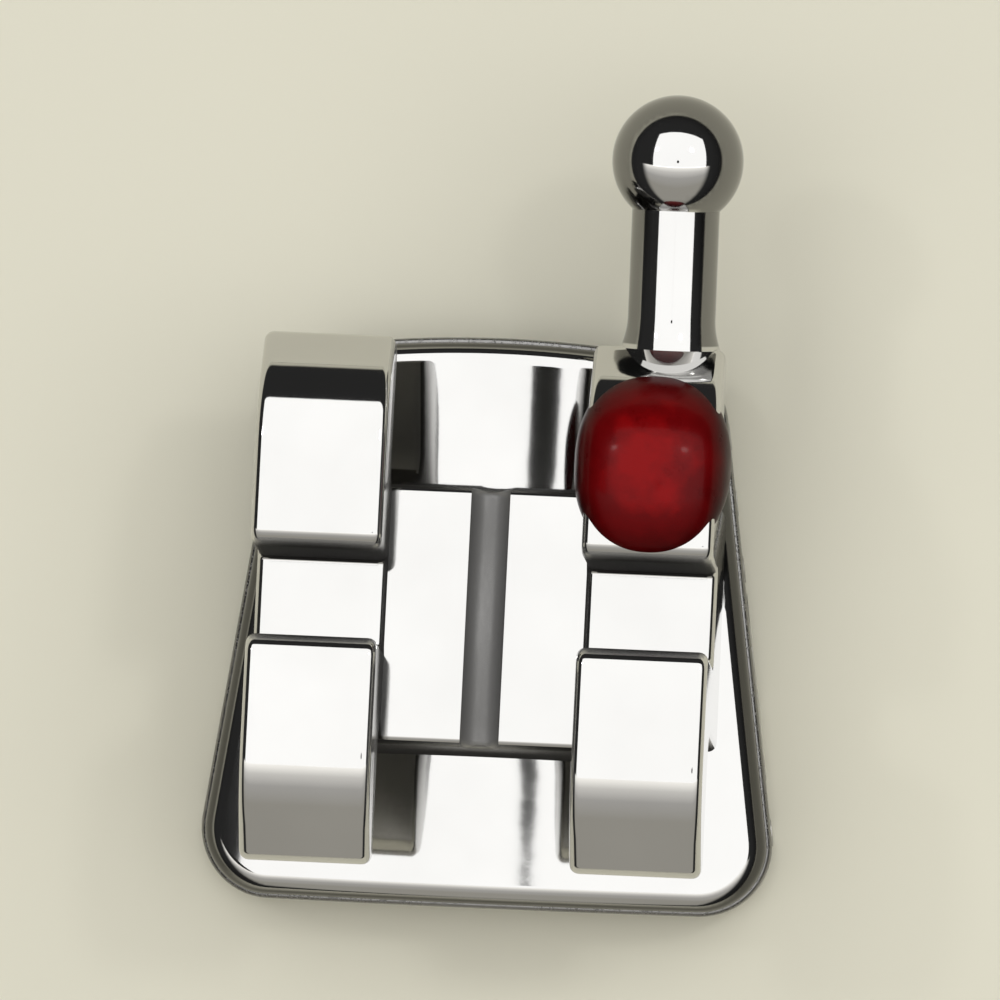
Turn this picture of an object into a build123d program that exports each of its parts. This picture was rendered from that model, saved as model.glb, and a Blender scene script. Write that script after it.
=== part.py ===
# Orthodontic twin bracket for an upper left second premolar, with a ball hook.
# +X is distal, +Y is gingival and +Z points out from the tooth.
# The origin is the middle of the bonding surface. All sizes are in millimetres.
import os
from math import cos, radians, sin, sqrt, tan

from build123d import *

# Base, wider at its occlusal edge and curved across to fit the tooth
base_occlusal_width = 3.82
base_gingival_width = 2.80
base_height = 3.64
base_gingival_bulge = 0.10
base_corner_radius = 0.45
tooth_radius = 4.50
tooth_form_margin = 1.00

# Layers of the base, from the tooth outwards
wire_knuckle_height = 0.07
mesh_wall_thickness = 0.08
foil_thickness = 0.08
pad_thickness = 0.17
pad_inset = 0.03
pad_edge_radius = 0.12

# Woven mesh of 60 wires to the inch
mesh_pitch = 0.4233
wire_width = 0.17
wire_knuckle_width = 0.14
wire_knuckle_length = 0.56
mesh_rim = 0.06

# Archwire slot, 0.022 by 0.028 inch, tilted for torque
slot_height = 0.559
slot_depth = 0.711
slot_floor_height = 1.00
torque_angle = 7.0

# Tie wings
wing_width = 0.84
channel_width = 1.27
wing_reach = 1.70
wing_flat = 0.99
wing_slope_angle = 42.0
wing_tip_thickness = 0.27
wing_tip_overhang = 0.02
wing_undercut_rise = 0.05
slot_lip_radius = 0.12
wing_shoulder_radius = 0.80
wing_nose_radius = 0.12
tie_groove_radius = 0.20
wing_edge_bevel = 0.05

# Stem of each wing pair and the bridge between them
stem_length = 1.54
bridge_length = 1.67
bridge_shift = -0.05
bridge_bite = 0.10
bridge_step = 0.05
bridge_edge_radius = 0.06
midline_groove_width = 0.25
midline_groove_depth = 0.09

# Ball hook on the distal gingival wing
hook_offset = 0.06
hook_rise_angle = 2.0
hook_length = 1.20
hook_shank_radius = 0.28
hook_root_radius = 0.32
hook_root_depth = 0.60
hook_root_end_radius = 0.06
hook_flare_length = 0.20
hook_ball_radius = 0.42

# Enamel marker on the distal gingival wing
dot_width = 1.00
dot_length = 1.24
dot_height = 0.18
dot_sink = 0.12
dot_lean_angle = 11.0
dot_slot_clearance = 0.02

mesh_thickness = wire_knuckle_height + mesh_wall_thickness
foil_front = mesh_thickness + foil_thickness
pad_front = foil_front + pad_thickness
wing_top = slot_floor_height + slot_depth
wing_middle = (channel_width + wing_width) / 2

# Directions along the tilted slot towards the gum and out of the slot
slot_along = Vector(0, cos(radians(torque_angle)), -sin(radians(torque_angle)))
slot_out = Vector(0, sin(radians(torque_angle)), cos(radians(torque_angle)))
side_plane = Plane(origin=(0, 0, 0), x_dir=slot_along, z_dir=(1, 0, 0))


# Space on the tooth side of a surface that lies a given height out from the bonding surface
def tooth_form(height):
    with BuildPart() as form:
        with BuildSketch(Plane.XZ):
            with Locations((0, -tooth_radius)):
                Circle(tooth_radius + height)
        extrude(amount=base_height / 2 + tooth_form_margin, both=True)
    return form.part


bonding_form = tooth_form(0)
wall_form = tooth_form(wire_knuckle_height)
seat_form = tooth_form(wire_knuckle_height + mesh_wall_thickness / 2)
mesh_form = tooth_form(mesh_thickness)
foil_form = tooth_form(foil_front)
pad_form = tooth_form(pad_front)

# Outline of the base: a trapezoid with a bulged gingival edge
base_bottom = Plane.XY.offset(-tooth_radius)
base_column = tooth_radius + pad_front + tooth_form_margin
base_shoulder = base_height / 2 - base_gingival_bulge
with BuildSketch(mode=Mode.PRIVATE) as base_outline:
    with BuildLine():
        Polyline(
            (base_gingival_width / 2, base_shoulder),
            (base_occlusal_width / 2, -base_height / 2),
            (-base_occlusal_width / 2, -base_height / 2),
            (-base_gingival_width / 2, base_shoulder),
        )
        ThreePointArc(
            (-base_gingival_width / 2, base_shoulder),
            (0, base_height / 2),
            (base_gingival_width / 2, base_shoulder),
        )
    make_face()
    fillet(base_outline.vertices(), base_corner_radius)

# Wire crossings, by the wire that lies over the other, and the gaps between them
mesh_gap = mesh_pitch - wire_width
gap_reach = mesh_gap / 2 + mesh_rim
base_slope = (base_occlusal_width - base_gingival_width) / 2 / (base_height - base_gingival_bulge)
mesh_columns = int(base_occlusal_width / 2 / mesh_pitch) + 1
mesh_rows = int(base_height / 2 / mesh_pitch) + 1
warp_knuckles = []
weft_knuckles = []
gaps = []
for column in range(-mesh_columns, mesh_columns + 1):
    for row in range(-mesh_rows, mesh_rows + 1):
        x, y = column * mesh_pitch, row * mesh_pitch
        (warp_knuckles if (column + row) % 2 else weft_knuckles).append((x, y))
        gap_x, gap_y = x + mesh_pitch / 2, y + mesh_pitch / 2
        half_width = base_gingival_width / 2 + (base_shoulder - gap_y - gap_reach) * base_slope
        in_width = abs(gap_x) + gap_reach < half_width
        in_height = gap_reach - base_height / 2 < gap_y < base_shoulder - gap_reach
        if in_width and in_height:
            gaps.append((gap_x, gap_y))

# Knuckles where a wire passes over another, on the side that takes the adhesive
with BuildPart() as wire_knuckles:
    with BuildSketch(base_bottom):
        with Locations(*warp_knuckles):
            Rectangle(wire_knuckle_width, wire_knuckle_length)
        with Locations(*weft_knuckles):
            Rectangle(wire_knuckle_length, wire_knuckle_width)
        add(base_outline.sketch, mode=Mode.INTERSECT)
    extrude(amount=base_column)
    add(seat_form, mode=Mode.INTERSECT)
    add(bonding_form, mode=Mode.SUBTRACT)

# Woven mesh: one wall with gaps, and the knuckles on it
with BuildPart() as bonding_mesh:
    with BuildSketch(base_bottom):
        add(base_outline.sketch)
        with Locations(*gaps):
            Rectangle(mesh_gap, mesh_gap, mode=Mode.SUBTRACT)
    extrude(amount=base_column)
    add(mesh_form, mode=Mode.INTERSECT)
    add(wall_form, mode=Mode.SUBTRACT)
    add(wire_knuckles.part)
bonding_mesh.part.label = "bonding_mesh"

# Backing foil
with BuildPart() as base_foil:
    with BuildSketch(base_bottom):
        add(base_outline.sketch)
    extrude(amount=base_column)
    add(foil_form, mode=Mode.INTERSECT)
    add(mesh_form, mode=Mode.SUBTRACT)
base_foil.part.label = "base_foil"

# Side profile of one wing pair: stem, tie grooves, wings and slot
wing_shoulder = slot_height / 2 + wing_flat
wing_tip = wing_top - (wing_reach - wing_shoulder) * tan(radians(wing_slope_angle))
wing_toe = wing_tip - wing_tip_thickness
slot_corner = (slot_height / 2, slot_floor_height)
lip = (slot_height / 2, wing_top)
shoulder = (wing_shoulder, wing_top)
tip = (wing_reach, wing_tip)
toe = (wing_reach - wing_tip_overhang, wing_toe)
root = (stem_length / 2, wing_toe + wing_undercut_rise)
foot = (stem_length / 2, 0)
half_profile = [slot_corner, lip, shoulder, tip, toe, root, foot]
profile_radii = {
    lip: slot_lip_radius,
    shoulder: wing_shoulder_radius,
    tip: wing_nose_radius,
    toe: wing_nose_radius,
    root: tie_groove_radius,
}
with BuildPart() as wing_pair:
    with BuildSketch(side_plane.offset(channel_width / 2)) as wing_profile:
        with BuildLine():
            Polyline(*half_profile, *[(-u, w) for u, w in reversed(half_profile)], close=True)
        make_face()
        for (u, w), radius in profile_radii.items():
            for corner in (u, w), (-u, w):
                fillet(wing_profile.vertices().sort_by_distance(corner)[0], radius)
    extrude(amount=wing_width)
    chamfer(wing_pair.faces().filter_by(Axis.X).edges(), wing_edge_bevel)

# Bridge between the wing pairs, with the midline groove along its top
bridge_top = slot_floor_height - bridge_step
bridge_width = channel_width + 2 * bridge_bite
groove_radius = (midline_groove_width**2 / 4 + midline_groove_depth**2) / (2 * midline_groove_depth)
groove_middle = slot_out * (bridge_top - midline_groove_depth + groove_radius)
with BuildPart() as bridge:
    with BuildSketch(side_plane.offset(-bridge_width / 2)) as bridge_profile:
        with Locations((bridge_shift, bridge_top / 2)):
            Rectangle(bridge_length, bridge_top)
        fillet(bridge_profile.vertices().group_by(Axis.Y)[-1], bridge_edge_radius)
    extrude(amount=bridge_width)
    with BuildSketch(Plane(origin=groove_middle, x_dir=(1, 0, 0), z_dir=slot_along)):
        Circle(groove_radius)
    extrude(amount=bridge_length, both=True, mode=Mode.SUBTRACT)

# Hook, turned about its own axis
hook_x = wing_middle + hook_offset
hook_root = slot_along * wing_reach + slot_out * ((wing_tip + wing_toe) / 2) + Vector(hook_x, 0, 0)
hook_out = Vector(0, -sin(radians(hook_rise_angle)), cos(radians(hook_rise_angle)))
hook_plane = Plane(origin=hook_root, x_dir=(1, 0, 0), z_dir=hook_out)
hook_neck = hook_length - sqrt(hook_ball_radius**2 - hook_shank_radius**2)
with BuildPart() as hook:
    with BuildSketch(hook_plane):
        with BuildLine():
            Polyline(
                (0, hook_length + hook_ball_radius),
                (0, -hook_root_depth),
                (hook_root_end_radius, -hook_root_depth),
                (hook_root_radius, 0),
            )
            TangentArc((hook_shank_radius, hook_flare_length), (hook_root_radius, 0), tangent=(0, -1))
            Line((hook_shank_radius, hook_flare_length), (hook_shank_radius, hook_neck))
            ThreePointArc(
                (hook_shank_radius, hook_neck),
                (hook_ball_radius, hook_length),
                (0, hook_length + hook_ball_radius),
            )
        make_face()
    revolve(axis=Axis(hook_root, hook_plane.y_dir))

# Body: pad, bridge, two wing pairs and hook, moulded as one piece
with BuildPart() as bracket_body:
    with BuildSketch(base_bottom):
        add(base_outline.sketch)
        offset(amount=-pad_inset, mode=Mode.REPLACE)
    extrude(amount=base_column)
    add(pad_form, mode=Mode.INTERSECT)
    add(foil_form, mode=Mode.SUBTRACT)
    fillet(bracket_body.faces().sort_by(Axis.Z)[-1].edges(), pad_edge_radius)
    add(bridge.part)
    add(wing_pair.part)
    mirror(wing_pair.part, about=Plane.YZ)
    add(hook.part)
    add(foil_form, mode=Mode.SUBTRACT)
bracket_body.part.label = "bracket_body"

# Enamel drop, shaped by the wing that it sits on and leaning down its slope
dot_lean = radians(dot_lean_angle)
dot_middle = slot_height / 2 + dot_slot_clearance + dot_length / 2 * cos(dot_lean)
dot_seat = slot_along * dot_middle + slot_out * (wing_top - dot_sink) + Vector(wing_middle, 0, 0)
dot_out = slot_out * cos(dot_lean) + slot_along * sin(dot_lean)
with BuildPart() as enamel_drop:
    Sphere(1)
    scale(by=(dot_width / 2, dot_length / 2, dot_sink + dot_height))
with BuildPart() as id_dot:
    with Locations(Plane(origin=dot_seat, x_dir=(1, 0, 0), z_dir=dot_out)):
        add(enamel_drop.part)
    add(bracket_body.part, mode=Mode.SUBTRACT)
id_dot.part.label = "id_dot"

os.makedirs("parts", exist_ok=True)
for piece in (bonding_mesh, base_foil, bracket_body, id_dot):
    export_step(piece.part, f"parts/{piece.part.label}.step")
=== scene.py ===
# Looks of an orthodontic twin bracket for an upper left second premolar.
# +X is distal, +Y is gingival and +Z points out from the tooth.
# Pieces are shaped in millimetres, and each finished mesh is then scaled to metres.
from math import asin, atan2, copysign, cos, pi, radians, sin, sqrt, tan

import bmesh
import bpy
from mathutils import Matrix, Vector


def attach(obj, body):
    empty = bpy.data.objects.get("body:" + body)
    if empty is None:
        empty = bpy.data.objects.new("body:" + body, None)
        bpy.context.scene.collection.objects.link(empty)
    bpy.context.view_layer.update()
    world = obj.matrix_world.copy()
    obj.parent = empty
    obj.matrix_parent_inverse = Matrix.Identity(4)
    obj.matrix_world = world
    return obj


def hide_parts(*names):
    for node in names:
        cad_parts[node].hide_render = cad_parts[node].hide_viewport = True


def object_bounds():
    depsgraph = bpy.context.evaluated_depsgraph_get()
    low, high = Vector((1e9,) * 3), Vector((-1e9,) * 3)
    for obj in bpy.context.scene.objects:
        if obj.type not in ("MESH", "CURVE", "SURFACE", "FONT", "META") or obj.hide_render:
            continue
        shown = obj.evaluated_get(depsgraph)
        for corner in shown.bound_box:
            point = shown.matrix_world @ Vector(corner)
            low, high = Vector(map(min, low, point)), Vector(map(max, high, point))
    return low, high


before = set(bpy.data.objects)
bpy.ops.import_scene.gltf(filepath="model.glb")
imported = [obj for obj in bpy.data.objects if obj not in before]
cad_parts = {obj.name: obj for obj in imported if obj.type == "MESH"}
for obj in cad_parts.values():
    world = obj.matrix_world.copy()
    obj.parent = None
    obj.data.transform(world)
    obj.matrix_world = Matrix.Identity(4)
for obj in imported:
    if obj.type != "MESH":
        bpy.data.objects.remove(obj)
cad_low, cad_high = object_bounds()

# Bonding mesh
# A square of plain woven stainless wire, 60 wires to the inch, rolled flatter and formed to the tooth.
# Adhesive flows round its wires and grips them. It is brazed to the back of the foil.
to_metres = Matrix.Scale(0.001, 4)
tooth_radius = 4.50
mesh_thickness = 0.15
mesh_pitch = 0.4233
wire_width = 0.17
wire_thickness = 0.09
wire_wave = (mesh_thickness - wire_thickness) / 2
wire_step = 0.03
wire_section_points = 12
base_occlusal_width = 3.82
base_gingival_width = 2.80
base_height = 3.64
base_gingival_bulge = 0.10
base_corner_radius = 0.45
bulge_radius = 7.5
outline_step = 0.08
arc_angle = radians(6)
fewest_arc_steps = 3


def placed(name, data):
    """A new object in the scene for a mesh, a lamp or a camera."""
    piece = bpy.data.objects.new(name, data)
    bpy.context.scene.collection.objects.link(piece)
    return piece


def rounded(corners, step):
    """Points along an outline whose corners (x, y, radius) are arcs, with straight runs cut into steps."""
    points = []
    for index, (x, y, radius) in enumerate(corners):
        corner = Vector((x, y))
        before = (Vector(corners[index - 1][:2]) - corner).normalized()
        after = (Vector(corners[(index + 1) % len(corners)][:2]) - corner).normalized()
        half_angle = before.angle(after) / 2
        if radius == 0:
            arc = [corner]
        else:
            reach = radius / tan(half_angle)
            middle = corner + (before + after).normalized() * radius / sin(half_angle)
            start = corner + before * reach - middle
            turn = 2 * atan2(before.cross(after), 1 + before.dot(after))
            sweep = -(pi - abs(turn)) if turn > 0 else pi - abs(turn)
            count = max(fewest_arc_steps, round(abs(sweep) * max(radius / step, 1 / arc_angle)))
            arc = [middle + Matrix.Rotation(sweep * k / count, 2) @ start for k in range(count + 1)]
        points.append(arc)
    outline = []
    for arc, following in zip(points, points[1:] + points[:1]):
        outline += arc
        run = following[0] - arc[-1]
        count = max(1, round(run.length / step))
        outline += [arc[-1] + run * k / count for k in range(1, count)]
    return outline


def crossings(outline, axis, level):
    """Where a line of constant x or y crosses an outline, lowest and highest, or None."""
    found = []
    for start, end in zip(outline, outline[1:] + outline[:1]):
        if (start[axis] - level) * (end[axis] - level) < 0:
            share = (level - start[axis]) / (end[axis] - start[axis])
            found.append((start + (end - start) * share)[1 - axis])
    return (min(found), max(found)) if found else None


def tooth_level(x, height):
    """Height of a surface that lies a given height out from the bonding surface."""
    return sqrt((tooth_radius + height) ** 2 - x**2) - tooth_radius


base_shoulder = base_height / 2 - base_gingival_bulge
bulge_slope = 2 * base_gingival_bulge / (base_gingival_width / 2)
bulge_peak = base_shoulder + base_gingival_width / 2 * bulge_slope
base_outline = rounded(
    [
        (base_gingival_width / 2, base_shoulder, base_corner_radius),
        (0, bulge_peak, bulge_radius),
        (-base_gingival_width / 2, base_shoulder, base_corner_radius),
        (-base_occlusal_width / 2, -base_height / 2, base_corner_radius),
        (base_occlusal_width / 2, -base_height / 2, base_corner_radius),
    ],
    outline_step,
)

wire_ends = []
wire_sides = []
for axis, reach in (1, base_height / 2), (0, base_occlusal_width / 2):
    count = int(reach / mesh_pitch)
    for index in range(-count, count + 1):
        span = crossings(base_outline, axis, index * mesh_pitch)
        if span and span[1] - span[0] > 2 * mesh_pitch:
            for end in span:
                wire_ends.append((end, index * mesh_pitch, 0) if axis else (index * mesh_pitch, end, 0))
                wire_sides.append(1.0 if axis else -1.0)
wire_mesh = bpy.data.meshes.new("woven_mesh")
wire_mesh.from_pydata(wire_ends, [(k, k + 1) for k in range(0, len(wire_ends), 2)], [])
wire_mesh.attributes.new("weave_side", "FLOAT", "POINT").data.foreach_set("value", wire_sides)
woven_mesh = placed("woven_mesh", wire_mesh)


def feed(tree, sockets, values):
    """Gives each socket its value, which is a link or a constant."""
    for socket, value in zip(sockets, values):
        if isinstance(value, bpy.types.NodeSocket):
            tree.links.new(value, socket)
        else:
            socket.default_value = value


def math_node(tree, operation, *values):
    """A Math node with links or numbers on its inputs, and its output."""
    node = tree.nodes.new("ShaderNodeMath")
    node.operation = operation
    feed(tree, node.inputs, values)
    return node.outputs[0]


def mix_node(tree, data_type, *values):
    """A Mix node, given its mask, what shows at 0 and what shows at 1, and its output."""
    node = tree.nodes.new("ShaderNodeMix")
    node.data_type = data_type
    feed(tree, [socket for socket in node.inputs if socket.enabled], values)
    return next(socket for socket in node.outputs if socket.enabled)


def material(name):
    """A new material, with its nodes and its shader."""
    paint = bpy.data.materials.new(name)
    paint.use_nodes = True
    return paint, paint.node_tree, paint.node_tree.nodes["Principled BSDF"]


steel_finish = bpy.data.node_groups.new("steel_finish", "ShaderNodeTree")
for name, value in (
    ("Patch size mm", 0.6),
    ("Grain size mm", 0.02),
    ("Scratch length mm", 0.5),
    ("Roughness", 0.1),
    ("Roughness range", 0.05),
    ("Scratch depth", 0.3),
    ("Grain depth", 0.3),
):
    steel_finish.interface.new_socket(name, in_out="INPUT", socket_type="NodeSocketFloat").default_value = value
for name in "Light tone", "Dark tone":
    steel_finish.interface.new_socket(name, in_out="INPUT", socket_type="NodeSocketColor")
steel_finish.interface.new_socket("Colour", in_out="OUTPUT", socket_type="NodeSocketColor")
steel_finish.interface.new_socket("Roughness", in_out="OUTPUT", socket_type="NodeSocketFloat")
steel_finish.interface.new_socket("Height", in_out="OUTPUT", socket_type="NodeSocketFloat")


def steel_nodes():
    """Fills the finish: broad patches of polish, fine grain and sparse hair scratches in three directions."""
    tree = steel_finish
    inputs = tree.nodes.new("NodeGroupInput").outputs
    outputs = tree.nodes.new("NodeGroupOutput").inputs
    place = tree.nodes.new("ShaderNodeTexCoord").outputs["Object"]

    def noise(size, stretch=(1, 1, 1), turn=(0, 0, 0), detail=2.0):
        mapping = tree.nodes.new("ShaderNodeMapping")
        mapping.vector_type = "TEXTURE"
        mapping.inputs["Scale"].default_value = [0.001 / s for s in stretch]
        mapping.inputs["Rotation"].default_value = [radians(a) for a in turn]
        tree.links.new(place, mapping.inputs["Vector"])
        texture = tree.nodes.new("ShaderNodeTexNoise")
        texture.inputs["Detail"].default_value = detail
        tree.links.new(mapping.outputs["Vector"], texture.inputs["Vector"])
        tree.links.new(math_node(tree, "DIVIDE", 1.0, size), texture.inputs["Scale"])
        return texture.outputs["Fac"]

    patches = noise(inputs["Patch size mm"], detail=3.0)
    grain = noise(inputs["Grain size mm"])
    hair_stretch = (1, 30, 30)
    hair_level = 0.66
    hair_sharpness = 40.0
    hair_dulling = 0.2
    scratch = 1.0
    for turn in (20, 15, 35), (-15, 10, -50), (10, -25, 80):
        hairs = noise(inputs["Scratch length mm"], hair_stretch, turn, 1.0)
        ridge = math_node(tree, "ABSOLUTE", math_node(tree, "SUBTRACT", hairs, hair_level))
        ridge = math_node(tree, "MINIMUM", math_node(tree, "MULTIPLY", ridge, hair_sharpness), 1.0)
        scratch = math_node(tree, "MULTIPLY", ridge, scratch)
    tone = mix_node(tree, "RGBA", patches, inputs["Dark tone"], inputs["Light tone"])
    tree.links.new(tone, outputs["Colour"])
    dull = math_node(tree, "MULTIPLY_ADD", patches, inputs["Roughness range"], inputs["Roughness"])
    worn = math_node(tree, "SUBTRACT", 1.0, scratch)
    worn = math_node(tree, "MULTIPLY", worn, math_node(tree, "MULTIPLY", inputs["Scratch depth"], hair_dulling))
    tree.links.new(math_node(tree, "ADD", dull, worn), outputs["Roughness"])
    height = math_node(tree, "MULTIPLY", scratch, inputs["Scratch depth"])
    height = math_node(tree, "MULTIPLY_ADD", grain, inputs["Grain depth"], height)
    tree.links.new(math_node(tree, "ADD", height, patches), outputs["Height"])


steel_nodes()


def steel(name, light, dark, roughness, roughness_range, patch, grain, scratch, grain_depth, scratch_depth, relief):
    """A stainless steel material. Sizes are in millimetres and relief, the height of its marks, in metres."""
    metal, tree, shader = material(name)
    shader.inputs["Metallic"].default_value = 1.0
    finish = tree.nodes.new("ShaderNodeGroup")
    finish.node_tree = steel_finish
    for socket, value in (
        ("Light tone", (*light, 1)),
        ("Dark tone", (*dark, 1)),
        ("Roughness", roughness),
        ("Roughness range", roughness_range),
        ("Patch size mm", patch),
        ("Grain size mm", grain),
        ("Scratch length mm", scratch),
        ("Grain depth", grain_depth),
        ("Scratch depth", scratch_depth),
    ):
        finish.inputs[socket].default_value = value
    bump = tree.nodes.new("ShaderNodeBump")
    bump.inputs["Strength"].default_value = 1.0
    bump.inputs["Distance"].default_value = relief
    tree.links.new(finish.outputs["Height"], bump.inputs["Height"])
    tree.links.new(finish.outputs["Colour"], shader.inputs["Base Color"])
    tree.links.new(finish.outputs["Roughness"], shader.inputs["Roughness"])
    tree.links.new(bump.outputs["Normal"], shader.inputs["Normal"])
    return metal


wire_steel = steel(
    "drawn_wire_steel",
    light=(0.56, 0.55, 0.535),
    dark=(0.42, 0.415, 0.40),
    roughness=0.24,
    roughness_range=0.14,
    patch=0.25,
    grain=0.02,
    scratch=0.30,
    grain_depth=0.4,
    scratch_depth=0.3,
    relief=3e-6,
)

weave = bpy.data.node_groups.new("plain_weave", "GeometryNodeTree")
weave.interface.new_socket("Wires", in_out="INPUT", socket_type="NodeSocketGeometry")
weave_sizes = {
    "Pitch": mesh_pitch,
    "Wire width": wire_width,
    "Wire thickness": wire_thickness,
    "Wave": wire_wave,
    "Step": wire_step,
    "Tooth radius": tooth_radius,
    "Middle height": mesh_thickness / 2,
}
for name in weave_sizes:
    weave.interface.new_socket(name, in_out="INPUT", socket_type="NodeSocketFloat")
weave.interface.new_socket("Steel", in_out="INPUT", socket_type="NodeSocketMaterial")
weave.interface.new_socket("Cloth", in_out="OUTPUT", socket_type="NodeSocketGeometry")


def weave_nodes():
    """Fills the weave: each straight wire waves over and under, bends to the tooth and gets its round section."""
    tree = weave
    node = {}
    for name, kind in {
        "in": "NodeGroupInput",
        "curve": "GeometryNodeMeshToCurve",
        "steps": "GeometryNodeResampleCurve",
        "share": "GeometryNodeSplineParameter",
        "marked": "GeometryNodeStoreNamedAttribute",
        "place": "GeometryNodeInputPosition",
        "split": "ShaderNodeSeparateXYZ",
        "side": "GeometryNodeInputNamedAttribute",
        "join": "ShaderNodeCombineXYZ",
        "bend": "GeometryNodeSetPosition",
        "upright": "GeometryNodeSetCurveNormal",
        "lean": "GeometryNodeSetCurveTilt",
        "section": "GeometryNodeCurvePrimitiveCircle",
        "flatten": "GeometryNodeTransform",
        "scale": "ShaderNodeCombineXYZ",
        "tube": "GeometryNodeCurveToMesh",
        "realize": "GeometryNodeRealizeInstances",
        "steel": "GeometryNodeSetMaterial",
        "out": "NodeGroupOutput",
    }.items():
        node[name] = tree.nodes.new(kind)
    sizes = node["in"].outputs
    link = tree.links.new
    node["steps"].mode = "LENGTH"
    node["side"].data_type = "FLOAT"
    node["side"].inputs["Name"].default_value = "weave_side"
    node["marked"].data_type = "FLOAT"
    node["marked"].inputs["Name"].default_value = "wire_share"
    node["upright"].mode = "Z_UP"
    node["section"].inputs["Resolution"].default_value = wire_section_points
    node["tube"].inputs["Fill Caps"].default_value = True
    link(sizes["Wires"], node["curve"].inputs[0])
    link(node["curve"].outputs[0], node["steps"].inputs["Curve"])
    link(sizes["Step"], node["steps"].inputs["Length"])
    link(node["place"].outputs[0], node["split"].inputs[0])
    x, y = node["split"].outputs["X"], node["split"].outputs["Y"]
    turn = math_node(tree, "DIVIDE", math_node(tree, "ADD", x, y), sizes["Pitch"])
    wave = math_node(tree, "COSINE", math_node(tree, "MULTIPLY", turn, pi))
    wave = math_node(tree, "MULTIPLY", wave, math_node(tree, "MULTIPLY", node["side"].outputs[0], sizes["Wave"]))
    height = math_node(tree, "ADD", wave, sizes["Middle height"])
    radius = math_node(tree, "ADD", height, sizes["Tooth radius"])
    level = math_node(tree, "MULTIPLY", radius, radius)
    level = math_node(tree, "SQRT", math_node(tree, "SUBTRACT", level, math_node(tree, "MULTIPLY", x, x)))
    link(x, node["join"].inputs["X"])
    link(y, node["join"].inputs["Y"])
    link(math_node(tree, "SUBTRACT", level, sizes["Tooth radius"]), node["join"].inputs["Z"])
    link(node["steps"].outputs[0], node["marked"].inputs["Geometry"])
    link(node["share"].outputs["Factor"], node["marked"].inputs["Value"])
    link(node["marked"].outputs[0], node["bend"].inputs["Geometry"])
    link(node["join"].outputs[0], node["bend"].inputs["Position"])
    link(node["bend"].outputs[0], node["upright"].inputs["Curve"])
    link(node["upright"].outputs[0], node["lean"].inputs["Curve"])
    link(math_node(tree, "MULTIPLY", sizes["Wire width"], 0.5), node["section"].inputs["Radius"])
    link(node["section"].outputs["Curve"], node["flatten"].inputs["Geometry"])
    node["scale"].inputs["X"].default_value = 1.0
    node["scale"].inputs["Z"].default_value = 1.0
    link(math_node(tree, "DIVIDE", sizes["Wire thickness"], sizes["Wire width"]), node["scale"].inputs["Y"])
    link(node["scale"].outputs[0], node["flatten"].inputs["Scale"])
    link(node["lean"].outputs[0], node["tube"].inputs["Curve"])
    link(node["flatten"].outputs[0], node["tube"].inputs["Profile Curve"])
    link(node["tube"].outputs[0], node["realize"].inputs[0])
    link(node["realize"].outputs[0], node["steel"].inputs["Geometry"])
    link(sizes["Steel"], node["steel"].inputs["Material"])
    link(node["steel"].outputs[0], node["out"].inputs[0])


weave_nodes()


def finished(piece):
    """Turns a piece's modifiers into a plain mesh."""
    shaped = bpy.data.meshes.new_from_object(piece.evaluated_get(bpy.context.evaluated_depsgraph_get()))
    piece.modifiers.clear()
    piece.data = shaped


modifier = woven_mesh.modifiers.new("plain_weave", "NODES")
modifier.node_group = weave
identifiers = {item.name: item.identifier for item in weave.interface.items_tree if item.in_out == "INPUT"}
for name, value in weave_sizes.items():
    modifier[identifiers[name]] = value
modifier[identifiers["Steel"]] = wire_steel
finished(woven_mesh)
trims = {}
for vertex, side, share in zip(
    woven_mesh.data.vertices,
    woven_mesh.data.attributes["weave_side"].data,
    woven_mesh.data.attributes["wire_share"].data,
):
    axis = 1 if side.value > 0 else 0
    level = round(vertex.co[axis], 3)
    if (axis, level) not in trims:
        trims[axis, level] = crossings(base_outline, axis, level)
    span = trims[axis, level]
    if span:
        height = sqrt((vertex.co.z + tooth_radius) ** 2 + vertex.co.x**2) - tooth_radius
        vertex.co[1 - axis] = span[0] + (span[1] - span[0]) * share.value
        vertex.co.z = tooth_level(vertex.co.x, height)
woven_mesh.data.transform(to_metres)
woven_mesh.data.shade_smooth()
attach(woven_mesh, "root")
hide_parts("bonding_mesh")

# Base foil
# A thin stainless foil, cut to the outline of the base and formed to the tooth.
# The mesh is brazed to its back and the body to its front, so only its edge and the gaps show it.
foil_thickness = 0.08
foil_front = mesh_thickness + foil_thickness
foil_edge_radius = 0.025
foil_sharp_angle = radians(40)
edge_steps = 5
plate_rings = 14
plate_edge_hold = 0.992


def inset(outline, distance):
    """An outline moved inwards by a distance, for points that run counterclockwise."""
    least_lean = 0.3
    moved = []
    for index, point in enumerate(outline):
        before = (point - outline[index - 1]).normalized()
        after = (outline[(index + 1) % len(outline)] - point).normalized()
        inward = (before + after).orthogonal().normalized()
        moved.append(point + inward * distance / max(least_lean, inward.dot(before.orthogonal())))
    return moved


def loft(name, loops):
    """A closed solid whose skin runs from loop to loop, with its first and last loop filled."""
    shape = bmesh.new()
    rows = [[shape.verts.new(point) for point in loop] for loop in loops]
    for low, high in zip(rows, rows[1:]):
        for index in range(len(low)):
            shape.faces.new((low[index - 1], low[index], high[index], high[index - 1]))
    shape.faces.new(rows[0][::-1])
    shape.faces.new(rows[-1])
    bmesh.ops.recalc_face_normals(shape, faces=shape.faces)
    mesh = bpy.data.meshes.new(name)
    shape.to_mesh(mesh)
    shape.free()
    return placed(name, mesh)


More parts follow.
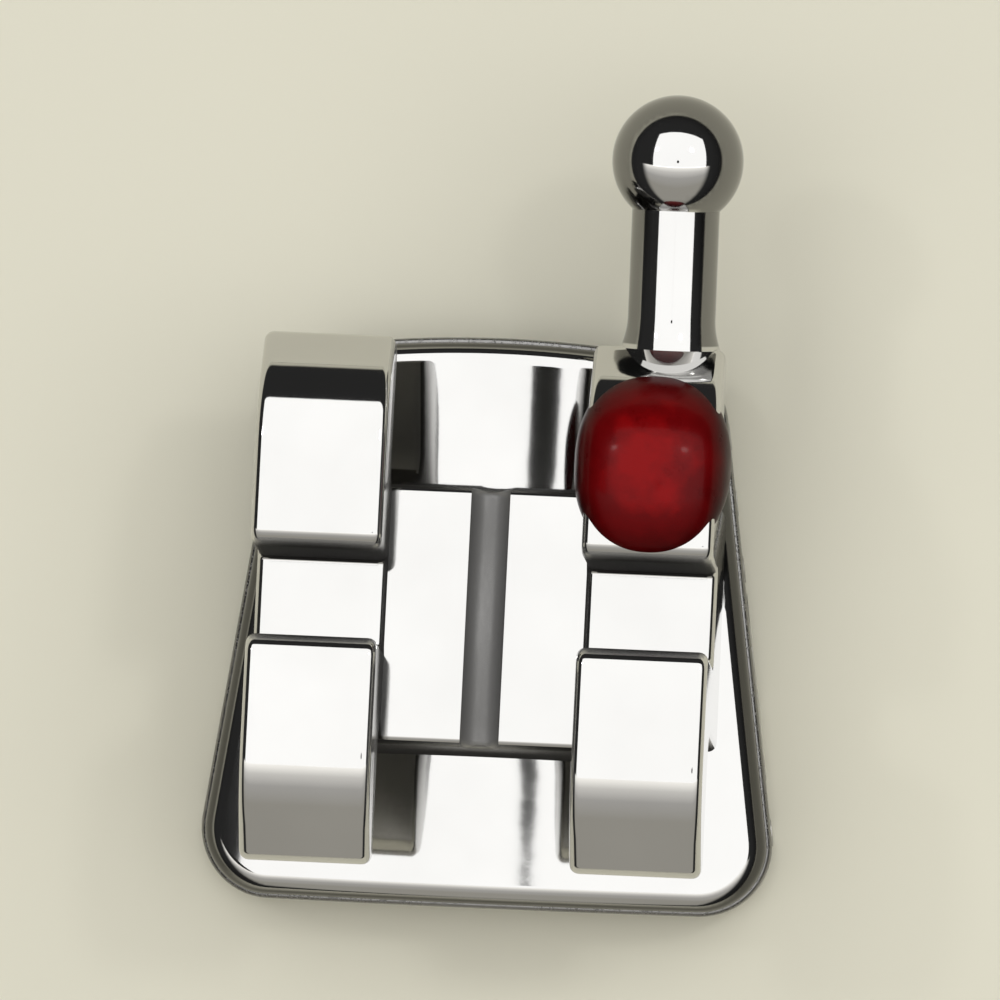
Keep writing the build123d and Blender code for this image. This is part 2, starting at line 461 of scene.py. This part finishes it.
def plate(name, outline, back, front, edge_radius):
    """A plate formed to the tooth, between two heights, with the edge of its front rounded."""

    def ring(points, height, drop=0.0):
        return [(p.x, p.y, tooth_level(p.x, height) - drop) for p in points]

    shares = [plate_edge_hold] + [1 - (k / plate_rings) for k in range(1, plate_rings)]
    loops = [ring([p * share for p in outline], back) for share in reversed(shares)]
    loops.append(ring(outline, back))
    for k in range(edge_steps + 1):
        angle = pi / 2 * k / edge_steps
        edge = inset(outline, edge_radius * (1 - cos(angle)))
        loops.append(ring(edge, front, edge_radius * (1 - sin(angle))))
    loops += [ring([p * share for p in edge], front) for share in shares]
    return loft(name, loops)


def smoothed(piece, sharp_angle):
    """Shades a piece smooth up to an angle, with flat faces kept flat."""
    piece.data.shade_smooth()
    piece.data.set_sharp_from_angle(angle=sharp_angle)
    weights = piece.modifiers.new("flat_faces", "WEIGHTED_NORMAL")
    weights.keep_sharp = True
    finished(piece)


foil_steel = steel(
    "rolled_foil_steel",
    light=(0.32, 0.315, 0.305),
    dark=(0.22, 0.217, 0.21),
    roughness=0.22,
    roughness_range=0.10,
    patch=0.50,
    grain=0.015,
    scratch=0.60,
    grain_depth=0.3,
    scratch_depth=0.5,
    relief=2e-6,
)
foil_sheet = plate("foil_sheet", base_outline, mesh_thickness, foil_front, foil_edge_radius)
foil_sheet.data.transform(to_metres)
smoothed(foil_sheet, foil_sharp_angle)
foil_sheet.data.materials.append(foil_steel)
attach(foil_sheet, "root")
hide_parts("base_foil")

# Bracket body
# One piece of stainless steel, injection moulded, sintered and tumbled bright, so every edge is soft.
# A pad carries a grooved bridge and two pairs of tie wings, with a ball hook grown out of one wing.
pad_thickness = 0.17
pad_front = foil_front + pad_thickness
pad_root_depth = 0.3
pad_inset = 0.03
pad_edge_radius = 0.12
slot_height = 0.559
slot_depth = 0.711
slot_floor_height = 1.00
torque_angle = radians(7)
wing_width = 0.84
channel_width = 1.27
wing_reach = 1.70
wing_flat = 0.99
wing_slope_angle = radians(42)
wing_tip_thickness = 0.27
wing_tip_overhang = 0.02
wing_undercut_rise = 0.05
slot_lip_radius = 0.12
slot_corner_radius = 0.03
wing_shoulder_radius = 0.80
wing_nose_radius = 0.12
tie_groove_radius = 0.20
wing_edge_radius = 0.06
wing_edge_hold = 0.015
stem_length = 1.54
profile_step = 0.2
back_cut_reach = 3.0
body_sharp_angle = radians(32)


def on_slot(x, along, out):
    """A point given along and out of the tilted slot."""
    tilted = Matrix.Rotation(-torque_angle, 2) @ Vector((along, out))
    return Vector((x, tilted.x, tilted.y))


def join(piece, other, operation="UNION"):
    """Joins a piece with another or cuts the other out of it, and drops the other."""
    cut = piece.modifiers.new("join", "BOOLEAN")
    cut.operation = operation
    cut.solver = "EXACT"
    cut.object = other
    finished(piece)
    bpy.data.objects.remove(other)


pad_outline = inset(base_outline, pad_inset)
moulded_body = plate("moulded_body", pad_outline, foil_front - pad_root_depth, pad_front, pad_edge_radius)

wing_top = slot_floor_height + slot_depth
wing_shoulder = slot_height / 2 + wing_flat
wing_tip = wing_top - (wing_reach - wing_shoulder) * tan(wing_slope_angle)
wing_toe = wing_tip - wing_tip_thickness
half_profile = [
    (stem_length / 2, 0, 0),
    (stem_length / 2, wing_toe + wing_undercut_rise, tie_groove_radius),
    (wing_reach - wing_tip_overhang, wing_toe, wing_nose_radius),
    (wing_reach, wing_tip, wing_nose_radius),
    (wing_shoulder, wing_top, wing_shoulder_radius),
    (slot_height / 2, wing_top, slot_lip_radius),
    (slot_height / 2, slot_floor_height, slot_corner_radius),
]
wing_profile = rounded(half_profile + [(-u, w, r) for u, w, r in reversed(half_profile)], profile_step)
wing_middle = (channel_width + wing_width) / 2
for side in -1, 1:
    loops = []
    for end in -1, 1:
        rings = []
        for k in range(edge_steps + 1):
            angle = pi / 2 * k / edge_steps
            rings.append((wing_edge_radius * (1 - sin(angle)), wing_edge_radius * (1 - cos(angle))))
        rings.append((0, wing_edge_radius + wing_edge_hold))
        for inward, back in rings[::-end]:
            x = side * wing_middle + end * (wing_width / 2 - back)
            loops.append([on_slot(x, p.x, p.y) for p in inset(wing_profile, inward)])
    join(moulded_body, loft("wing_pair", loops))

bridge_length = 1.67
bridge_shift = -0.05
bridge_bite = 0.10
bridge_step = 0.05
bridge_edge_radius = 0.06
midline_groove_width = 0.25
midline_groove_depth = 0.09
groove_samples = 24
bridge_section_step = 10
bridge_top = slot_floor_height - bridge_step
bridge_reach = channel_width / 2 + bridge_bite
groove_radius = (midline_groove_width**2 / 4 + midline_groove_depth**2) / (2 * midline_groove_depth)
groove_edge = midline_groove_width / 2
bridge_loops = []
groove_places = [groove_edge * k / groove_samples for k in range(-groove_samples, groove_samples + 1)]
for x in (-bridge_reach, *groove_places, bridge_reach):
    depth = 0 if abs(x) >= groove_edge else sqrt(groove_radius**2 - x**2) - groove_radius + midline_groove_depth
    section = [(bridge_length / 2, 0, 0), (bridge_length / 2, bridge_top - depth, bridge_edge_radius)]
    section += [(-u, w, r) for u, w, r in reversed(section)]
    bridge_loops.append([on_slot(x, bridge_shift + p.x, p.y) for p in rounded(section, bridge_section_step)])
join(moulded_body, loft("bridge", bridge_loops))

hook_offset = 0.06
hook_rise = radians(2)
hook_length = 1.20
hook_shank_radius = 0.28
hook_root_radius = 0.32
hook_root_depth = 0.60
hook_root_end_radius = 0.06
hook_flare_length = 0.20
hook_ball_radius = 0.42
hook_sides = 64
flare_rings = 24
ball_rings = 28
ball_tip_radius = 0.004
hook_rings = [(hook_root_end_radius, -hook_root_depth), (hook_root_radius, 0)]
for k in range(1, flare_rings + 1):
    share = k / flare_rings
    flare = (1 - share) ** 2 * (hook_root_radius - hook_shank_radius)
    hook_rings.append((hook_shank_radius + flare, hook_flare_length * share))
ball_start = asin(hook_shank_radius / hook_ball_radius)
for k in range(ball_rings):
    angle = pi - ball_start - (pi - ball_start) * k / ball_rings
    hook_rings.append((hook_ball_radius * sin(angle), hook_length + hook_ball_radius * cos(angle)))
hook_rings.append((ball_tip_radius, hook_length + hook_ball_radius))
hook_root = on_slot(wing_middle + hook_offset, wing_reach, (wing_tip + wing_toe) / 2)
hook_way = Vector((0, cos(hook_rise), sin(hook_rise)))
hook_up = Vector((0, -sin(hook_rise), cos(hook_rise)))
hook_loops = []
for radius, distance in hook_rings:
    loop = []
    for k in range(hook_sides):
        angle = 2 * pi * k / hook_sides
        out = Vector((cos(angle), 0, 0)) + hook_up * sin(angle)
        loop.append(hook_root + hook_way * distance + out * radius)
    hook_loops.append(loop)
join(moulded_body, loft("hook", hook_loops))


def tooth_block(name, height, reach, half_width):
    """The space behind a height, as a bar along the tooth, to cut the back of a piece to its curve."""
    steps = 90
    bottom = -2
    span = reach / steps
    arc = [Vector((reach - 2 * span * k, tooth_level(reach - 2 * span * k, height))) for k in range(steps + 1)]
    section = [Vector((reach, bottom)), *arc, Vector((-reach, bottom))]
    return loft(name, [[(p.x, y, p.y) for p in section] for y in (-half_width, half_width)])


join(moulded_body, tooth_block("back_cut", foil_front, back_cut_reach, back_cut_reach), "DIFFERENCE")

body_steel = steel(
    "polished_steel",
    light=(0.66, 0.655, 0.64),
    dark=(0.58, 0.575, 0.56),
    roughness=0.035,
    roughness_range=0.03,
    patch=0.70,
    grain=0.02,
    scratch=0.50,
    grain_depth=0.02,
    scratch_depth=0.004,
    relief=0.8e-6,
)
# Painted shade, partly real: the slot, channel, groove and wing undersides take a duller as-moulded finish, and its
# colour goes nearly black where ambient occlusion finds them sheltered.
recess_shade_tone = (0.022, 0.021, 0.020)
recess_roughness = 0.75
recess_reach = 0.0009
recess_open = 1.05
recess_deep = 0.80
recess_shine = 0.15
recess_metal_loss = 0.9
# Painted shade: steep sides of the pad's rim and of the hook get a dark steel tone, the darker the more they face
# sideways.
side_shade_tone = (0.10, 0.098, 0.094)
side_shade_roughness = 0.12
body_tree = body_steel.node_tree
body_shader = body_tree.nodes["Principled BSDF"]
shade_occlusion = body_tree.nodes.new("ShaderNodeAmbientOcclusion")
shade_occlusion.only_local = True
shade_occlusion.samples = 12
shade_occlusion.inputs["Distance"].default_value = recess_reach


def fade(tree, value, start, end):
    """A mask that goes smoothly from 0 to 1 as a value goes from start to end."""
    node = tree.nodes.new("ShaderNodeMapRange")
    node.interpolation_type = "SMOOTHSTEP"
    tree.links.new(value, node.inputs["Value"])
    node.inputs["From Min"].default_value = start
    node.inputs["From Max"].default_value = end
    return node.outputs["Result"]


def attribute(tree, name):
    """The value of one of the mesh's attributes, in a material."""
    node = tree.nodes.new("ShaderNodeAttribute")
    node.attribute_name = name
    return node.outputs["Fac"]


occlusion_shade = fade(body_tree, shade_occlusion.outputs["AO"], recess_open, recess_deep)
moulded_recess_shade = math_node(body_tree, "MULTIPLY", attribute(body_tree, "moulded_and_shaded"), occlusion_shade)
moulded_recess_shade = math_node(body_tree, "MINIMUM", moulded_recess_shade, 1.0)
side_shade = attribute(body_tree, "side_shade")
metal_share = math_node(body_tree, "MULTIPLY_ADD", moulded_recess_shade, -recess_metal_loss, 1.0)
body_tree.links.new(metal_share, body_shader.inputs["Metallic"])
body_shader.inputs["Specular IOR Level"].default_value = recess_shine
for socket, data_type, mask, value in (
    ("Base Color", "RGBA", side_shade, (*side_shade_tone, 1)),
    ("Roughness", "FLOAT", side_shade, side_shade_roughness),
    ("Base Color", "RGBA", moulded_recess_shade, (*recess_shade_tone, 1)),
    ("Roughness", "FLOAT", moulded_recess_shade, recess_roughness),
):
    polished = body_shader.inputs[socket].links[0].from_socket
    body_tree.links.new(mix_node(body_tree, data_type, mask, polished, value), body_shader.inputs[socket])

# Faces that get the as-moulded finish and its painted shade: the groove, channel and slot walls, and the wing
# undersides.
groove_shade_mark = 0.75
underside_shade_mark = 0.8
wall_facing = 0.6
side_facing = 0.7
underside_facing = 0.3
groove_rim = 0.002
groove_slack = 0.01
bridge_end_slack = 0.02
half_channel = channel_width / 2 + wing_edge_radius / 2
for face, mark in zip(
    moulded_body.data.polygons, moulded_body.data.attributes.new("moulded_and_shaded", "FLOAT", "FACE").data
):
    x, (along, out) = abs(face.center.x), Matrix.Rotation(torque_angle, 2) @ face.center.yz
    facing_along, facing_out = Matrix.Rotation(torque_angle, 2) @ face.normal.yz
    in_groove = x < groove_edge and groove_rim < bridge_top - out < midline_groove_depth + groove_slack
    in_channel = x < half_channel
    on_wing = x > half_channel
    wall = abs(facing_along) > wall_facing
    in_slot = out > slot_floor_height and abs(along) < slot_height / 2 + slot_lip_radius
    on_stem = out < wing_tip and abs(along) < stem_length / 2 + tie_groove_radius / 2
    on_bridge = out < bridge_top and abs(along - bridge_shift) < bridge_length / 2 + bridge_end_slack
    if in_groove:
        mark.value = groove_shade_mark
    elif in_channel and (abs(face.normal.x) > side_facing or wall and on_bridge):
        mark.value = 1.0
    elif on_wing and wall and (in_slot or on_stem):
        mark.value = 1.0
    elif on_wing and facing_out < -underside_facing and abs(along) < wing_reach:
        mark.value = underside_shade_mark
# Marks steep vertices of the pad's rim and of the hook for that painted shade.
side_shade_top = 0.80
side_shade_full = 0.70
hook_side_shade = 0.75
hook_side_shade_start = 0.03
pad_rim_drop = 0.002
for vertex, mark in zip(
    moulded_body.data.vertices, moulded_body.data.attributes.new("side_shade", "FLOAT", "POINT").data
):
    height = sqrt((vertex.co.z + tooth_radius) ** 2 + vertex.co.x**2) - tooth_radius
    on_hook = (vertex.co - hook_root).dot(hook_way) > hook_side_shade_start
    if on_hook or height < pad_front - pad_rim_drop:
        share = min(1, max(0, (side_shade_top - vertex.normal.z) / (side_shade_top - side_shade_full)))
        mark.value = share * (hook_side_shade if on_hook else 1)
moulded_body.data.transform(to_metres)
smoothed(moulded_body, body_sharp_angle)
moulded_body.data.materials.clear()
moulded_body.data.materials.append(body_steel)
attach(moulded_body, "root")
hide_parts("bracket_body")

# Marker
# A drop of red enamel on the distal gingival wing, which tells the bracket's tooth.
# It is dabbed on wet, so it crowns by itself; its colour is painted darker towards its rim and lighter at its
# crown, as painted shade.
dot_width = 1.00
dot_length = 1.24
dot_height = 0.18
dot_lean = radians(11)
dot_slot_clearance = 0.02
dot_fullness = 0.90
dot_rings = 48
dot_sides = 112
dot_half_length = dot_length / 2 * cos(dot_lean)
dot_middle = slot_height / 2 + dot_slot_clearance + dot_half_length
dot_rim_sink = 0.09
dot_edge_radius = 0.145
dot_overhang_depth = 0.50
enamel_shine = 0.05
enamel_coat = 0.08
enamel_coat_roughness = 0.12
enamel_patches_per_metre = 5000
enamel_flow = 0.5
enamel_roughness = 0.2
enamel_roughness_range = 0.2
enamel_relief = 4e-6


def arc_fall(distance, radius):
    """How far a round of a given radius has fallen at a distance from where it starts."""
    return radius - sqrt(radius**2 - min(max(distance, 0), radius) ** 2)


def wetted(across, along):
    """Height that wet enamel takes on the wing: it follows the wing's top and rolls over its side edges."""
    shoulder_start = wing_shoulder - wing_shoulder_radius * tan(wing_slope_angle / 2)
    fall = arc_fall(slot_height / 2 + slot_lip_radius - along, slot_lip_radius)
    fall += arc_fall(along - shoulder_start, wing_shoulder_radius)
    return wing_top - fall - arc_fall(abs(across) - (dot_width / 2 - dot_edge_radius), dot_edge_radius)


dot_loops = []
dot_crowns = []
for k in range(1, dot_rings):
    angle = pi * k / dot_rings
    crown = -cos(angle)
    rise = (dot_height + dot_rim_sink) * crown if crown > 0 else -dot_overhang_depth * crown**2
    loop = []
    for j in range(dot_sides):
        turn = 2 * pi * j / dot_sides
        squared = [copysign(abs(part) ** dot_fullness, part) for part in (cos(turn), sin(turn))]
        across = dot_width / 2 * sin(angle) * squared[0]
        along = dot_middle + dot_half_length * sin(angle) * squared[1]
        loop.append(on_slot(wing_middle + across, along, wetted(across, along) - dot_rim_sink + rise))
        dot_crowns.append(crown)
    dot_loops.append(loop)
enamel_dot = loft("enamel_dot", dot_loops)
enamel_dot.data.attributes.new("crown", "FLOAT", "POINT").data.foreach_set("value", dot_crowns)
enamel_dot.data.transform(to_metres)
enamel_dot.data.shade_smooth()
red_enamel, enamel_tree, enamel_shader = material("red_enamel")
enamel_shader.inputs["Specular IOR Level"].default_value = enamel_shine
enamel_shader.inputs["Coat Weight"].default_value = enamel_coat
enamel_shader.inputs["Coat Roughness"].default_value = enamel_coat_roughness
enamel_place = enamel_tree.nodes.new("ShaderNodeTexCoord").outputs["Object"]
enamel_noise = enamel_tree.nodes.new("ShaderNodeTexNoise")
enamel_noise.inputs["Scale"].default_value = enamel_patches_per_metre
enamel_noise.inputs["Detail"].default_value = 4
enamel_tree.links.new(enamel_place, enamel_noise.inputs["Vector"])
flow = math_node(enamel_tree, "MULTIPLY_ADD", enamel_noise.outputs["Fac"], enamel_flow, -enamel_flow / 2)
# Painted shade: the enamel's colour runs from a bright crown to a nearly black rim by the crown's height, with
# random flow added.
crown_shade_and_flow = math_node(enamel_tree, "ADD", attribute(enamel_tree, "crown"), flow)
enamel_shade_ramp = enamel_tree.nodes.new("ShaderNodeValToRGB")
stops = enamel_shade_ramp.color_ramp.elements
stops[0].position, stops[0].color = 0.25, (0.026, 0.0008, 0.001, 1)
stops[1].position, stops[1].color = 1.0, (0.27, 0.002, 0.003, 1)
stops.new(0.80).color = (0.13, 0.001, 0.002, 1)
enamel_tree.links.new(crown_shade_and_flow, enamel_shade_ramp.inputs[0])
enamel_tree.links.new(enamel_shade_ramp.outputs["Color"], enamel_shader.inputs["Base Color"])
gloss = math_node(
    enamel_tree, "MULTIPLY_ADD", enamel_noise.outputs["Fac"], enamel_roughness_range, enamel_roughness
)
enamel_tree.links.new(gloss, enamel_shader.inputs["Roughness"])
enamel_bump = enamel_tree.nodes.new("ShaderNodeBump")
enamel_bump.inputs["Distance"].default_value = enamel_relief
enamel_tree.links.new(enamel_noise.outputs["Fac"], enamel_bump.inputs["Height"])
enamel_tree.links.new(enamel_bump.outputs["Normal"], enamel_shader.inputs["Normal"])
enamel_dot.data.materials.append(red_enamel)
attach(enamel_dot, "root")
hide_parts("id_dot")

# Studio
# A pale table, one wide softbox overhead, a graded card in front and two small lamps, in a dim room.
# The camera looks straight down on the bracket, as the photograph does, a little from its distal side.
table_reach = 0.8
table_tone = (0.78, 0.755, 0.62)
table_roughness = 0.6
table_mesh = bpy.data.meshes.new("table_top")
table_corners = []
for x, y in (-1, -1), (1, -1), (1, 1), (-1, 1):
    table_corners.append((x * table_reach, y * table_reach, cad_low.z))
table_mesh.from_pydata(table_corners, [], [(0, 1, 2, 3)])
table_top = placed("table_top", table_mesh)
table_paint, _, table_shader = material("table_paint")
table_shader.inputs["Base Color"].default_value = (*table_tone, 1)
table_shader.inputs["Roughness"].default_value = table_roughness
table_top.data.materials.append(table_paint)

view_lean = radians(3.5)
view_pitch = radians(1)
view_roll = radians(2.4)
view_distance = 0.15
view_width = 0.0064
view_shift = 0.00005
to_camera = Vector((tan(view_lean), tan(view_pitch), 1)).normalized()
view_up = Vector((-sin(view_roll), cos(view_roll), 0))
view_right = view_up.cross(to_camera).normalized()
view_middle = Vector((view_shift, (cad_low.y + cad_high.y) / 2, (cad_low.z + cad_high.z) / 2))
camera_data = bpy.data.cameras.new("camera")
camera_data.lens = camera_data.sensor_width * view_distance / view_width
camera_data.clip_start = 0.001
camera_data.clip_end = 10
camera = placed("camera", camera_data)
turned = Matrix((view_right, to_camera.cross(view_right), to_camera)).transposed().to_4x4()
camera.matrix_world = Matrix.Translation(view_middle + to_camera * view_distance) @ turned
bpy.context.scene.camera = camera


def area_lamp(name, middle, width, length, radiance):
    """A flat lamp that looks straight down, as bright from every side."""
    data = bpy.data.lights.new(name, "AREA")
    data.shape = "RECTANGLE"
    data.size = width
    data.size_y = length
    data.energy = radiance * pi * width * length
    placed(name, data).location = middle


box_height = 0.25
box_mesial, box_distal = radians(41), radians(54)
box_occlusal, box_gingival = radians(11), radians(52)
box_radiance = 1.52
box_low = Vector((-tan(box_mesial), -tan(box_occlusal))) * box_height
box_high = Vector((tan(box_distal), tan(box_gingival))) * box_height
box_middle = (box_low + box_high) / 2
area_lamp("softbox", (*box_middle, box_height), box_high.x - box_low.x, box_high.y - box_low.y, box_radiance)
lamp_height = 0.2
lamp_gingival = radians(23)
lamp_size = 0.025
lamp_radiance = 20
for name, lean in ("lamp_mesial", -36), ("lamp_distal", 28):
    lamp_place = (lamp_height * tan(radians(lean)), lamp_height * tan(lamp_gingival), lamp_height)
    area_lamp(name, lamp_place, lamp_size, lamp_size, lamp_radiance)

lens_sides = 48
lens_half_width = 0.0058
lens_half_length = 0.0064
lens_setback = 1.02
lens_drop = 0.0039
lens_tone = (0.01, 0.01, 0.01)
lens_shine = 0.1
lens_middle = view_middle + to_camera * view_distance * lens_setback - view_up * lens_drop
lens_mesh = bpy.data.meshes.new("lens_front")
lens_rim = []
for k in range(lens_sides):
    turn = 2 * pi * k / lens_sides
    lens_rim.append(lens_middle + view_right * lens_half_width * cos(turn) + view_up * lens_half_length * sin(turn))
lens_mesh.from_pydata(lens_rim, [], [list(range(lens_sides))])
lens_front = placed("lens_front", lens_mesh)
lens_black, _, lens_shader = material("lens_black")
lens_shader.inputs["Base Color"].default_value = (*lens_tone, 1)
lens_shader.inputs["Specular IOR Level"].default_value = lens_shine
lens_front.data.materials.append(lens_black)

room_dark = (0.028, 0.028, 0.028)
room_horizon = 0.02
card_reach = 1.2
card_low_tone = (0.42, 0.405, 0.365)
card_side_dark, card_side_full = 2.0, 1.2
skirting_tone = (0.63, 0.61, 0.50)
skirting_top, skirting_full = 0.06, 0.03
world = bpy.data.worlds.new("dim_room")
bpy.context.scene.world = world
world.use_nodes = True
world_tree = world.node_tree
room = world_tree.nodes["Background"]
room_way = world_tree.nodes.new("ShaderNodeTexCoord").outputs["Generated"]
room_split = world_tree.nodes.new("ShaderNodeSeparateXYZ")
world_tree.links.new(room_way, room_split.inputs[0])
room_height = math_node(world_tree, "MAXIMUM", room_split.outputs["Z"], room_horizon)
toward_front = math_node(world_tree, "DIVIDE", room_split.outputs["Y"], room_height)
to_side = math_node(world_tree, "ABSOLUTE", math_node(world_tree, "DIVIDE", room_split.outputs["X"], room_height))
card_ramp = world_tree.nodes.new("ShaderNodeValToRGB")
stops = card_ramp.color_ramp.elements
card_edge = 1 - tan(box_occlusal) / card_reach
stops[0].position, stops[0].color = 0.05, (*card_low_tone, 1)
stops[1].position, stops[1].color = card_edge + 0.004, (*room_dark, 1)
for place, tone in (0.50, 0.52), (0.70, 0.85), (card_edge, 1.45):
    stops.new(place).color = (tone, tone * 0.98, tone * 0.94, 1)
card_place = math_node(world_tree, "MULTIPLY_ADD", toward_front, 1 / card_reach, 1.0)
world_tree.links.new(card_place, card_ramp.inputs[0])
on_card = fade(world_tree, to_side, card_side_dark, card_side_full)
room_card = mix_node(world_tree, "RGBA", on_card, (*room_dark, 1), card_ramp.outputs["Color"])
off_horizon = math_node(world_tree, "ABSOLUTE", room_split.outputs["Z"])
skirting = fade(world_tree, off_horizon, skirting_top, skirting_full)
room_tone = mix_node(world_tree, "RGBA", skirting, room_card, (*skirting_tone, 1))
world_tree.links.new(room_tone, room.inputs["Color"])

bpy.context.scene.view_settings.view_transform = "Standard"
